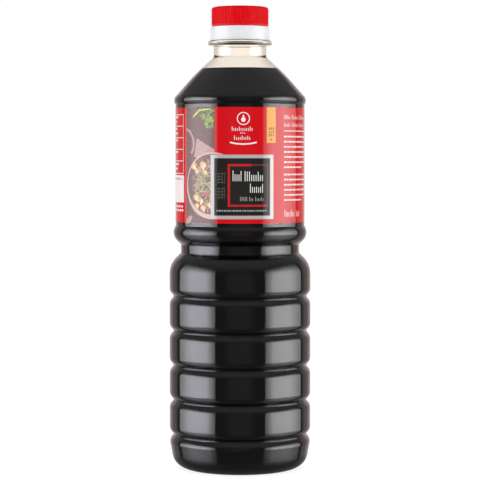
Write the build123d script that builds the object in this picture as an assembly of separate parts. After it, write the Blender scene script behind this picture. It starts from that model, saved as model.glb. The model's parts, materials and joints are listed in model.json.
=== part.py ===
"""A full one-litre soy sauce bottle: clear bottle, sauce, wrap-round label, collar, screw cap.

Millimetres. +Z runs up the bottle's axis, the origin lies on the axis in the plane that
the bottle stands on, and the front of the label faces -Y.
"""

from build123d import *
import os
from collections import namedtuple
from itertools import pairwise
from math import acos, cos, degrees, radians, tan

# Bottle's foot
rib_radius = 40.84           # lands between the grooves, the widest part
heel_inset = 2.9            # from the lands in to the corner that the heel rounds off
heel_round = 10.2
push_up_inset = 14.9        # from the lands in to the hollow under the foot
push_up_height = 8.0
push_up_slope = 66.0        # degrees from the vertical
push_up_top_round = 6.0
push_up_edge_round = 1.5

# Grip grooves round the body
groove_count = 5
first_groove = 19.8         # height of the lowest groove's bottom
groove_pitch = 20.0
groove_depth = 2.45
groove_half_width = 3.2
groove_shoulder_round = 4.3
groove_bottom_round = 0.95

# Top rib, waist and the two beads that the label's panel lies between
top_rib_height = 18.8       # above the highest groove's bottom
top_rib_round = 13.5
top_rib_slope = 46.6        # degrees from the vertical, like every slope
waist_depth = 6.6           # depths are measured in from the lands
waist_height = 4.9
waist_round = 0.4
lower_bead_depth = 2.3
lower_bead_round = 6.5
lower_bead_slope = 46.8     # its waist side
panel_depth = 3.67
panel_height = 69.5
panel_edge_round = 0.6
upper_bead_depth = 2.85
upper_bead_round = 4.0
flank_share = 0.95          # slope beside the panel, part of the steepest the rounds allow

# Shoulder, neck and mouth
shoulder_slopes = (41.4, 48.8)
crown_place = 0.4           # where the shoulder's two runs meet, from neck (0) to bead (1)
crown_share = 0.64          # part of the shorter run that the arc between them takes
neck_radius = 15.2
neck_height = 6.75
neck_foot_round = 2.0
ring_overhang = 3.15
ring_thickness = 2.6
ring_round = 1.0
ring_root_round = 0.4
finish_step = 0.6           # the mouth tube above the ring is this much slimmer than the neck
mouth_round = 0.3

# Walls and contents
body_wall = 0.5
foot_wall = 1.0
neck_wall = 2.4
sauce_clearance = 0.05
headspace = 6.6             # from the sauce's surface up to the neck's foot

# Label
label_thickness = 0.1
label_foot_margin = 2.15     # bare panel below it
label_head_margin = 2.1     # bare panel above it
label_lap = 12.0            # overlap of its glued ends, at the back
glue_gap = 0.04

# Collar and cap
fit_clearance = 0.1
collar_height = 8.1
collar_wall = 2.1
collar_flare = 0.5
collar_round = 0.4
cap_gap = 0.3               # open line between the cap and the collar
cap_height = 11.0
cap_wall = 1.7
cap_roof = 1.4
cap_top_round = 1.5
cap_edge_round = 0.4
knurl_count = 80
knurl_depth = 0.25
knurl_round = 0.42
knurl_start = 1.1           # plain band below the knurling

# An outline's corner, with the wall of the run that leaves it
Corner = namedtuple("Corner", "radius height rounding wall")


def bead_corner(crest_depth, rounding, lower_slope, upper_slope):
    """Radius of the sharp corner where a bead's two flanks would meet outside its round crest."""
    reach = rounding / cos(radians(lower_slope + upper_slope) / 2)
    middle = radians(upper_slope - lower_slope) / 2
    return rib_radius - crest_depth - rounding + reach * cos(middle)


def rise(radius_change, slope):
    """Height that a flank climbs while its radius changes by this much."""
    return abs(radius_change) / tan(radians(slope))


def panel_side_slope(crest_depth, rounding):
    """Slope of the flank between a bead's crest and the panel."""
    step = panel_depth - crest_depth
    return flank_share * degrees(acos(1 - step / (rounding + panel_edge_round)))


def foot_corners():
    """Hollow and heel under the bottle, from the axis out to the lands."""
    edge = rib_radius - push_up_inset
    top = edge - push_up_height * tan(radians(push_up_slope))
    return [
        Corner(0, push_up_height, 0, foot_wall),
        Corner(top, push_up_height, push_up_top_round, foot_wall),
        Corner(edge, 0, push_up_edge_round, foot_wall),
        Corner(rib_radius - heel_inset, 0, heel_round, body_wall),
    ]


def groove_corners(height):
    """One grip groove, a V with rounded shoulders."""
    return [
        Corner(rib_radius, height - groove_half_width, groove_shoulder_round, body_wall),
        Corner(rib_radius - groove_depth, height, groove_bottom_round, body_wall),
        Corner(rib_radius, height + groove_half_width, groove_shoulder_round, body_wall),
    ]


def upper_corners():
    """Top rib, waist, beads, label panel and shoulder, up to the neck's foot."""
    rib_top = first_groove + (groove_count - 1) * groove_pitch + top_rib_height
    waist_radius = rib_radius - waist_depth
    waist_foot = rib_top + rise(waist_depth, top_rib_slope)
    waist_top = waist_foot + waist_height

    inner_slope = panel_side_slope(lower_bead_depth, lower_bead_round)
    lower_bead = bead_corner(lower_bead_depth, lower_bead_round, lower_bead_slope, inner_slope)
    lower_bead_top = waist_top + rise(lower_bead - waist_radius, lower_bead_slope)
    panel_foot = lower_bead_top + rise(lower_bead - panel_radius, inner_slope)
    panel_top = panel_foot + panel_height

    inner_slope = panel_side_slope(upper_bead_depth, upper_bead_round)
    upper_bead = bead_corner(upper_bead_depth, upper_bead_round, inner_slope, shoulder_slopes[0])
    upper_bead_top = panel_top + rise(upper_bead - panel_radius, inner_slope)
    crown_radius = neck_radius + crown_place * (upper_bead - neck_radius)
    crown_height = upper_bead_top + rise(upper_bead - crown_radius, shoulder_slopes[0])
    neck_foot = crown_height + rise(crown_radius - neck_radius, shoulder_slopes[1])
    shorter_run = (neck_foot - crown_height) / cos(radians(shoulder_slopes[1]))
    half_turn = radians(shoulder_slopes[1] - shoulder_slopes[0]) / 2
    crown_round = crown_share * shorter_run / tan(half_turn)

    return [
        Corner(rib_radius, rib_top, top_rib_round, body_wall),
        Corner(waist_radius, waist_foot, waist_round, body_wall),
        Corner(waist_radius, waist_top, waist_round, body_wall),
        Corner(lower_bead, lower_bead_top, lower_bead_round, body_wall),
        Corner(panel_radius, panel_foot, panel_edge_round, body_wall),
        Corner(panel_radius, panel_top, panel_edge_round, body_wall),
        Corner(upper_bead, upper_bead_top, upper_bead_round, body_wall),
        Corner(crown_radius, crown_height, crown_round, body_wall),
        Corner(neck_radius, neck_foot, neck_foot_round, neck_wall),
    ]


panel_radius = rib_radius - panel_depth
finish_radius = neck_radius - finish_step
body = foot_corners()
for groove in range(groove_count):
    body += groove_corners(first_groove + groove * groove_pitch)
body += upper_corners()

neck_foot = body[-1].height
panel_foot = body[-5].height
ring_foot = neck_foot + neck_height
ring_top = ring_foot + ring_thickness
collar_top = ring_top + collar_height
cap_foot = collar_top + cap_gap
cap_top = cap_foot + cap_height
mouth = cap_top - cap_roof


def inset(corners, clearance):
    """The same corners moved into the bottle, by each run's wall and a clearance."""
    lines = []
    for start, end in pairwise(corners):
        along = Vector(end.radius - start.radius, end.height - start.height).normalized()
        inward = Vector(-along.Y, along.X) * (start.wall + clearance)
        lines.append((Vector(start.radius, start.height) + inward, along))
    moved = [Corner(corners[0].radius, lines[0][0].Y, 0, 0)]
    for corner, (before, into), (after, out) in zip(corners[1:], lines, lines[1:]):
        turn = into.cross(out).Z
        place = before + into * ((after - before).cross(out).Z / turn)
        thinning = body_wall + clearance
        rounding = corner.rounding - thinning if turn > 0 else corner.rounding + thinning
        moved.append(Corner(place.X, place.Y, max(rounding, 0), 0))
    moved.append(Corner(lines[-1][0].X, corners[-1].height, 0, 0))
    return moved


def profile(corners):
    """Face between the axis and an outline, whose first corner lies on the axis."""
    points = [(corner.radius, corner.height) for corner in corners]
    side = FilletPolyline(*points, radius=[corner.rounding for corner in corners[1:-1]])
    closing = Polyline(points[-1], (0, points[-1][1]), points[0])
    return Plane.XZ * make_face(side + closing)


def closed_profile(corners):
    """Face inside a loop of (radius, height, rounding) corners."""
    points = [(radius, height) for radius, height, _ in corners]
    loop = FilletPolyline(*points, radius=[rounding for _, _, rounding in corners], close=True)
    return Plane.XZ * make_face(loop)


def cavity(clearance):
    """Face of the bottle's inside, up to its mouth, with a clearance all round."""
    return profile(inset(body + [Corner(neck_radius, mouth, 0, 0)], clearance))


def turned(face):
    """Solid of revolution about the bottle's axis."""
    return revolve(face, Axis.Z)


def bottle():
    """Clear shell, open at its mouth."""
    ring_radius = neck_radius + ring_overhang
    outside = body + [
        Corner(neck_radius, ring_foot, ring_root_round, 0),
        Corner(ring_radius, ring_foot, ring_round, 0),
        Corner(ring_radius, ring_top, ring_round, 0),
        Corner(finish_radius, ring_top, 0, 0),
        Corner(finish_radius, mouth, mouth_round, 0),
        Corner(neck_radius - neck_wall, mouth, 0, 0),
    ]
    return turned(profile(outside) - cavity(0))


def soy_sauce():
    """Sauce, up to its surface in the shoulder."""
    level = neck_foot - headspace
    below = Plane.XZ * Pos(rib_radius / 2, level / 2) * Rectangle(rib_radius, level)
    return turned(cavity(sauce_clearance) & below)


def label():
    """Printed film wrapped once round the panel, one end glued over the other at the back."""
    height = panel_height - label_foot_margin - label_head_margin
    inner = panel_radius + glue_gap
    outer = inner + label_thickness
    wrap = Circle(outer) - Circle(inner)
    top_layer = Circle(outer + label_thickness) - Circle(outer)
    lap = top_layer & Pos(0, outer) * Rectangle(label_lap, outer)
    return Pos(0, 0, panel_foot + label_foot_margin) * extrude(wrap + lap, height)


def collar():
    """White collar over the mouth tube, standing on the neck's ring."""
    inner = finish_radius + fit_clearance
    outer = inner + collar_wall
    return turned(closed_profile([
        (inner, ring_top, 0),
        (outer + collar_flare, ring_top, collar_round),
        (outer, collar_top, collar_round),
        (inner, collar_top, 0),
    ]))


def screw_cap():
    """Knurled cap whose roof seats on the bottle's mouth."""
    inner = finish_radius + fit_clearance
    outer = inner + cap_wall
    blank = turned(closed_profile([
        (0, cap_top, 0),
        (outer, cap_top, cap_top_round),
        (outer, cap_foot, cap_edge_round),
        (inner, cap_foot, 0),
        (inner, mouth, 0),
        (0, mouth, 0),
    ]))
    knurl_height = cap_height - knurl_start
    flute = Cylinder(knurl_round, knurl_height, align=(Align.CENTER, Align.CENTER, Align.MIN))
    ring = PolarLocations(outer + knurl_round - knurl_depth, knurl_count)
    return blank - Pos(0, 0, cap_foot + knurl_start) * ring * flute


os.makedirs("parts", exist_ok=True)
for piece in (bottle, soy_sauce, label, collar, screw_cap):
    solid = piece()
    export_step(solid, f"parts/{piece.__name__}.step")
    print(piece.__name__, round(solid.volume / 1000, 2), "ml")
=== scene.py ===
"""Looks of a full one-litre soy sauce bottle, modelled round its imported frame, for Blender 4.5.

Metres. The bottle stands on its foot with its axis on +Z, and the label's front faces -Y.
Each sub-assembly is a class that models its pieces with Blender's own tools and dresses them.
"""

import json
import logging
import random
from collections.abc import Callable, Iterable
from dataclasses import dataclass
from enum import Enum
from itertools import pairwise
from math import acos, ceil, cos, degrees, hypot, pi, radians, sin, tan
from typing import Any

import bmesh
import bpy
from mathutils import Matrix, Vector

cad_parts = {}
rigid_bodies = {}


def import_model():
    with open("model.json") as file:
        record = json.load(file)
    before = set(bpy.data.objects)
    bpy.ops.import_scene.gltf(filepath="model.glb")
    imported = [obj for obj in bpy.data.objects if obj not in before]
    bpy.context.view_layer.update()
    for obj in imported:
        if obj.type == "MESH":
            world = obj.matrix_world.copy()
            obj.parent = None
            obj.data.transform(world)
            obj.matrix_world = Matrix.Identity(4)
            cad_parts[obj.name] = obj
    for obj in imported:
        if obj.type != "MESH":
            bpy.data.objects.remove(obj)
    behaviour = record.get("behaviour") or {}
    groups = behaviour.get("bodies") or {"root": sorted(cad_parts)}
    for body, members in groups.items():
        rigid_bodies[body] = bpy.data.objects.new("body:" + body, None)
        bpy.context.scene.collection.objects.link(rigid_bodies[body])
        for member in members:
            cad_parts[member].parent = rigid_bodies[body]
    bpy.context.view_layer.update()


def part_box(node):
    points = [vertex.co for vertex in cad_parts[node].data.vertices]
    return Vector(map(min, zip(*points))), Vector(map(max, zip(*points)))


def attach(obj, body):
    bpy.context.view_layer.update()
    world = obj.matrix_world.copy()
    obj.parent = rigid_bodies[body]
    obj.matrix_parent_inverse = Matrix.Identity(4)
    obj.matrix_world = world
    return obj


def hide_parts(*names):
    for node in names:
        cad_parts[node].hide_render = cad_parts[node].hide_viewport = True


log = logging.getLogger("soy_sauce_bottle")

MM = 0.001
BODY = "root"
ARC_ERROR = 0.004 * MM      # how far a chord may leave its arc
WIDEST_STEP = radians(12)   # largest turn of one arc step
WELD = 0.0005 * MM          # vertices this near are one


def mm(*sizes: float) -> tuple[float, ...]:
    """Metres for sizes in millimetres."""
    return tuple(size * MM for size in sizes)


# ---------------------------------------------------------------- drawing and turning


class View(Enum):
    """Plane that a chain of edges is drawn in."""

    SIDE = "radius along X, height along Z"
    TOP = "along X and Y"

    def lift(self, place: Vector) -> Vector:
        """Point in space for a point of the plane."""
        if self is View.SIDE:
            return Vector((place.x, 0.0, place.y))
        return Vector((place.x, place.y, 0.0))

    @property
    def spin_axis(self) -> tuple[float, float, float]:
        """Axis about which a positive spin turns anticlockwise in the plane."""
        return (0.0, 1.0, 0.0) if self is View.SIDE else (0.0, 0.0, -1.0)


@dataclass(frozen=True)
class Corner:
    """Corner of an outline, with the wall of the run that leaves it."""

    radius: float
    height: float
    rounding: float = 0.0
    wall: float = 0.0

    @property
    def place(self) -> Vector:
        """The corner as a point of the drawing plane."""
        return Vector((self.radius, self.height))


def cross(a: Vector, b: Vector) -> float:
    """Size of the cross product of two plane vectors, positive for a left turn."""
    return a.x * b.y - a.y * b.x


def arc_steps(radius: float, angle: float) -> int:
    """Steps that keep an arc's chords within ARC_ERROR.

    Args:
        radius: The arc's radius.
        angle: The angle that it turns through.

    Returns:
        A whole number of steps, at least 1.
    """
    step = 2 * acos(max(0.0, 1 - ARC_ERROR / max(radius, ARC_ERROR)))
    return max(1, ceil(abs(angle) / min(step, WIDEST_STEP) - 0.001))


class Pen:
    """Draws a chain of edges in edit mode from straight runs and arcs."""

    def __init__(self, name: str, start: Vector, view: View = View.SIDE) -> None:
        """Starts a new mesh with one vertex.

        Args:
            name: The new object's name.
            start: Where the chain starts, in the drawing plane.
            view: The drawing plane.
        """
        bpy.ops.object.select_all(action="DESELECT")
        bpy.ops.mesh.primitive_plane_add(size=MM, enter_editmode=True)
        bpy.ops.mesh.merge(type="CENTER")
        self.view = view
        self.piece = bpy.context.active_object
        self.piece.name = name
        self.piece.data.name = name
        self.place = start.copy()
        bpy.ops.transform.translate(value=view.lift(start))

    @classmethod
    def resume(cls, piece: bpy.types.Object, place: Vector, view: View = View.SIDE) -> "Pen":
        """Takes up a chain again, in edit mode, at its selected end."""
        pen = cls.__new__(cls)
        pen.view, pen.piece, pen.place = view, piece, place.copy()
        return pen

    def line_to(self, end: Vector) -> None:
        """Adds a straight run to a point, unless the chain is already there."""
        step = end - self.place
        if step.length > WELD:
            bpy.ops.mesh.extrude_region_move(TRANSFORM_OT_translate={"value": self.view.lift(step)})
            self.place = end.copy()

    def arc(self, centre: Vector, angle: float, steps: int | None = None) -> None:
        """Adds an arc about a centre.

        Args:
            centre: The arc's centre, in the drawing plane.
            angle: Radians, positive anticlockwise.
            steps: Edges of the arc, or None for as many as its size needs.
        """
        spoke = self.place - centre
        bpy.ops.mesh.spin(
            steps=steps or arc_steps(spoke.length, angle),
            angle=angle,
            center=self.view.lift(centre),
            axis=self.view.spin_axis,
        )
        self.place = centre + Vector((
            spoke.x * cos(angle) - spoke.y * sin(angle),
            spoke.x * sin(angle) + spoke.y * cos(angle),
        ))

    def round_corner(self, before: Vector, corner: Corner, after: Vector) -> None:
        """Draws up to a corner and round it.

        Args:
            before: The corner before this one.
            corner: The corner to draw.
            after: The corner after this one.
        """
        into = (corner.place - before).normalized()
        out = (after - corner.place).normalized()
        turn = acos(max(-1.0, min(1.0, into.dot(out))))
        side = 1.0 if cross(into, out) > 0 else -1.0
        if corner.rounding < WELD or turn < radians(0.01):
            self.line_to(corner.place)
            return
        self.line_to(corner.place - into * corner.rounding * tan(turn / 2))
        centre = self.place + Vector((-into.y, into.x)) * side * corner.rounding
        self.arc(centre, side * turn)


def draw_outline(name: str, corners: list[Corner]) -> bpy.types.Object:
    """Draws an outline with rounded corners and stays in edit mode.

    Args:
        name: The new object's name.
        corners: The outline's corners, whose first and last are sharp.

    Returns:
        The new object.
    """
    pen = Pen(name, corners[0].place)
    for before, corner, after in zip(corners, corners[1:], corners[2:]):
        pen.round_corner(before.place, corner, after.place)
    pen.line_to(corners[-1].place)
    return pen.piece


def turn_outline(piece: bpy.types.Object, steps: int) -> None:
    """Spins the outline in edit mode once round the axis and closes it.

    Args:
        piece: The outline's object.
        steps: Faces round the axis.
    """
    bpy.ops.mesh.select_all(action="SELECT")
    bpy.ops.mesh.spin(steps=steps, angle=2 * pi, center=(0, 0, 0), axis=(0, 0, 1))
    close_skin(piece)


def close_skin(piece: bpy.types.Object) -> None:
    """Merges doubles, turns every face outwards, and leaves edit mode."""
    bpy.ops.mesh.select_all(action="SELECT")
    bpy.ops.mesh.remove_doubles(threshold=WELD)
    bpy.ops.mesh.select_all(action="SELECT")
    bpy.ops.mesh.normals_make_consistent(inside=False)
    bpy.ops.object.mode_set(mode="OBJECT")


def apply_modifier(piece: bpy.types.Object, kind: str, **settings: Any) -> None:
    """Adds a modifier with its settings and applies it at once."""
    bpy.context.view_layer.objects.active = piece
    modifier = piece.modifiers.new(kind.lower(), kind)
    for name, value in settings.items():
        setattr(modifier, name, value)
    bpy.ops.object.modifier_apply(modifier=modifier.name)


def smooth(piece: bpy.types.Object, angle: float = radians(35)) -> None:
    """Shades a piece smooth below an angle, with large faces keeping their own direction."""
    bpy.ops.object.select_all(action="DESELECT")
    piece.select_set(True)
    bpy.context.view_layer.objects.active = piece
    bpy.ops.object.shade_smooth_by_angle(angle=angle)
    apply_modifier(piece, "WEIGHTED_NORMAL", keep_sharp=True, weight=100)


def select_where(piece: bpy.types.Object, test: Callable[[Vector], bool]) -> None:
    """Selects, in edit mode, just the vertices whose place passes a test."""
    bpy.ops.mesh.select_all(action="DESELECT")
    bpy.ops.mesh.select_mode(type="VERT")
    skin = bmesh.from_edit_mesh(piece.data)
    for vertex in skin.verts:
        vertex.select = test(vertex.co)
    skin.select_flush_mode()
    bmesh.update_edit_mesh(piece.data)


# ---------------------------------------------------------------- shader building


class Wire:
    """A socket, or a number, that adds Math nodes when it is used in an expression."""

    def __init__(self, recipe: "Recipe", source: Any) -> None:
        """Wraps a socket or a number of a recipe."""
        self.recipe = recipe
        self.source = source

    def _math(self, operation: str, first: Any, second: Any) -> "Wire":
        """Adds one Math node and wraps its result."""
        node = self.recipe.node("ShaderNodeMath", {"operation": operation}, {0: first, 1: second})
        return Wire(self.recipe, node.outputs[0])

    def __add__(self, other: Any) -> "Wire":
        """self + other."""
        return self._math("ADD", self, other)

    def __radd__(self, other: Any) -> "Wire":
        """other + self."""
        return self._math("ADD", other, self)

    def __sub__(self, other: Any) -> "Wire":
        """self - other."""
        return self._math("SUBTRACT", self, other)

    def __rsub__(self, other: Any) -> "Wire":
        """other - self."""
        return self._math("SUBTRACT", other, self)

    def __mul__(self, other: Any) -> "Wire":
        """self * other."""
        return self._math("MULTIPLY", self, other)

    def __rmul__(self, other: Any) -> "Wire":
        """other * self."""
        return self._math("MULTIPLY", other, self)

    def __neg__(self) -> "Wire":
        """-self."""
        return self._math("MULTIPLY", self, -1.0)

    def size(self) -> "Wire":
        """self without its sign."""
        return self._math("ABSOLUTE", self, 0.0)

    def direction_of(self, other: Any) -> "Wire":
        """Angle whose sine goes with self and whose cosine goes with other."""
        return self._math("ARCTAN2", self, other)

    def above(self, edge: float, softness: float) -> "Wire":
        """0 well below an edge and 1 well above it, with a smooth step between."""
        node = self.recipe.node(
            "ShaderNodeMapRange",
            {"interpolation_type": "SMOOTHSTEP"},
            {"Value": self, "From Min": edge - softness, "From Max": edge + softness},
        )
        return Wire(self.recipe, node.outputs["Result"])

    def between(self, low: float, high: float, softness: float) -> "Wire":
        """1 between two edges and 0 outside them, with smooth steps."""
        return self.above(low, softness) * (1 - self.above(high, softness))


class Recipe:
    """Builds one node tree, of a material or of the world."""

    def __init__(self, owner: bpy.types.Material | bpy.types.World) -> None:
        """Empties the owner's node tree."""
        owner.use_nodes = True
        self.tree = owner.node_tree
        self.tree.nodes.clear()

    def node(
        self,
        kind: str,
        settings: dict[str, Any] | None = None,
        inputs: dict[str | int, Any] | None = None,
    ) -> bpy.types.Node:
        """Adds a node.

        Args:
            kind: The node's type.
            settings: Its own settings, set first.
            inputs: Values, sockets or Wires for its input sockets, by name or number.

        Returns:
            The new node.
        """
        node = self.tree.nodes.new(kind)
        for name, value in (settings or {}).items():
            setattr(node, name, value)
        for name, value in (inputs or {}).items():
            value = value.source if isinstance(value, Wire) else value
            if isinstance(value, bpy.types.NodeSocket):
                self.tree.links.new(value, node.inputs[name])
            else:
                node.inputs[name].default_value = value
        return node

    def wire(self, node: bpy.types.Node, output: str | int = 0) -> Wire:
        """Wraps one of a node's outputs."""
        return Wire(self, node.outputs[output])

    def place(self) -> bpy.types.NodeSocket:
        """Object coordinates, in metres."""
        return self.node("ShaderNodeTexCoord").outputs["Object"]

    def noise(self, scale: float, detail: float = 2.0, stretch: Iterable[float] = (1, 1, 1)) -> Wire:
        """Noise over the object's own coordinates.

        Args:
            scale: Features for each metre.
            detail: Octaves of finer noise.
            stretch: Scale along X, Y and Z.

        Returns:
            The noise, around 0.5.
        """
        mapping = self.node(
            "ShaderNodeMapping", None, {"Vector": self.place(), "Scale": tuple(stretch)}
        )
        noise = self.node(
            "ShaderNodeTexNoise",
            None,
            {"Vector": mapping.outputs[0], "Scale": scale, "Detail": detail},
        )
        return self.wire(noise, "Fac")

    def mix(self, factor: Any, first: Any, second: Any) -> bpy.types.NodeSocket:
        """Colour between two colours."""
        inputs = {"Factor": factor, 6: first, 7: second}
        return self.node("ShaderNodeMix", {"data_type": "RGBA"}, inputs).outputs[2]

    def bump(self, height: Wire, depth: float) -> bpy.types.NodeSocket:
        """Normal of a surface that a height from 0 to 1 lifts by a depth in metres."""
        node = self.node(
            "ShaderNodeBump", None, {"Strength": 1.0, "Distance": depth, "Height": height}
        )
        return node.outputs["Normal"]


Colour = tuple[float, float, float]
Paint = tuple[float, float, float, float]


def srgb(red: int, green: int, blue: int) -> Colour:
    """Linear colour of a display colour given as 0 to 255."""
    return tuple(
        level / 12.92 / 255 if level <= 10 else ((level / 255 + 0.055) / 1.055) ** 2.4
        for level in (red, green, blue)
    )


def opaque(colour: Colour) -> Paint:
    """A colour with full alpha."""
    return (*colour, 1.0)


def grey(level: float) -> Paint:
    """An opaque grey."""
    return (level, level, level, 1.0)


def shade(colour: Colour, factor: float) -> Paint:
    """A lighter or darker tone of a colour."""
    return (*(min(1.0, part * factor) for part in colour), 1.0)


@dataclass(frozen=True)
class ClearPlastic:
    """Clear moulded polyester, faintly amber, with soft ripples from the mould."""

    name: str = "clear_plastic"
    index: float = 1.575
    absorbed: Colour = (0.95, 0.66, 0.14)   # colour that a long path keeps
    density: float = 34.0                   # for each metre
    ripple: float = 0.012 * MM
    ripple_scale: float = 34.0
    ripple_stretch: tuple[float, float, float] = (1.0, 1.0, 0.6)
    roughness: float = 0.004
    haze: float = 0.02                      # most that haze adds to the roughness
    haze_scale: float = 900.0

    def material(self) -> bpy.types.Material:
        """Builds the material."""
        material = bpy.data.materials.new(self.name)
        recipe = Recipe(material)
        ripples = recipe.noise(self.ripple_scale, 1.0, self.ripple_stretch)
        haze = recipe.noise(self.haze_scale, 3.0)
        shader = recipe.node(
            "ShaderNodeBsdfPrincipled",
            None,
            {
                "Base Color": opaque((1.0, 1.0, 1.0)),
                "Roughness": self.roughness + self.haze * haze,
                "IOR": self.index,
                "Transmission Weight": 1.0,
                "Normal": recipe.bump(ripples, self.ripple),
            },
        )
        body = recipe.node(
            "ShaderNodeVolumeAbsorption",
            None,
            {"Color": opaque(self.absorbed), "Density": self.density},
        )
        recipe.node(
            "ShaderNodeOutputMaterial",
            None,
            {"Surface": shader.outputs[0], "Volume": body.outputs[0]},
        )
        return material


COATING_INDEX = 1.5         # refractive index of paints, inks and opaque plastics


@dataclass(frozen=True)
class Coating:
    """An opaque finish: a colour with grain, a gloss, a fine surface texture, and optionally painted
    shade in hollows near the axis.
    """

    name: str
    colour: Colour
    roughness: float = 0.3
    gloss: float = 0.5          # specular level
    mottle: float = 0.06        # share by which the colour strays to either side
    mottle_scale: float = 350.0
    grain: float = 0.01 * MM    # height of the surface texture
    grain_scale: float = 900.0
    bleed: float = 0.0          # share of the light that scatters under the surface
    bleed_reach: float = 1.0 * MM
    bleed_tint: Colour = (1.0, 0.96, 0.9)
    painted_shade_radius: float = 0.0  # painted shade in hollows: nearer the axis than this, the colour is darker
    painted_shade_tone: float = 1.0    # by this factor

    def material(self) -> bpy.types.Material:
        """Builds the material."""
        material = bpy.data.materials.new(self.name)
        recipe = Recipe(material)
        tone = recipe.noise(self.mottle_scale, 4.0)
        grain = recipe.noise(self.grain_scale, 3.0)
        colour = recipe.mix(
            tone.above(0.5, 0.25),
            shade(self.colour, 1 - self.mottle),
            shade(self.colour, 1 + self.mottle),
        )
        # Painted shade: darkens the base colour where the surface lies nearer the axis, as in the
        # knurls' hollows
        if self.painted_shade_radius:
            parts = recipe.node("ShaderNodeSeparateXYZ", None, {0: recipe.place()})
            x, y = recipe.wire(parts, 0), recipe.wire(parts, 1)
            edge = self.painted_shade_radius ** 2
            raised = (x * x + y * y).above(edge, 0.02 * edge)
            colour = recipe.mix(raised, shade(self.colour, self.painted_shade_tone), colour)
        shader = recipe.node(
            "ShaderNodeBsdfPrincipled",
            None,
            {
                "Base Color": colour,
                "Roughness": self.roughness * (0.85 + 0.3 * grain),
                "IOR": COATING_INDEX,
                "Specular IOR Level": self.gloss,
                "Subsurface Weight": self.bleed,
                "Subsurface Radius": self.bleed_tint,
                "Subsurface Scale": self.bleed_reach,
                "Normal": recipe.bump(grain, self.grain),
            },
        )
        recipe.node("ShaderNodeOutputMaterial", None, {"Surface": shader.outputs[0]})
        return material


def dress(piece: bpy.types.Object, finish: ClearPlastic | Coating) -> None:
    """Gives a piece its only material, hangs it on the bottle's body and logs its faces."""
    piece.data.materials.clear()
    piece.data.materials.append(finish.material())
    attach(piece, BODY)
    log.info("%s: %d faces in %s", piece.name, len(piece.data.polygons), finish.name)


# ---------------------------------------------------------------- bottle and sauce


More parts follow.
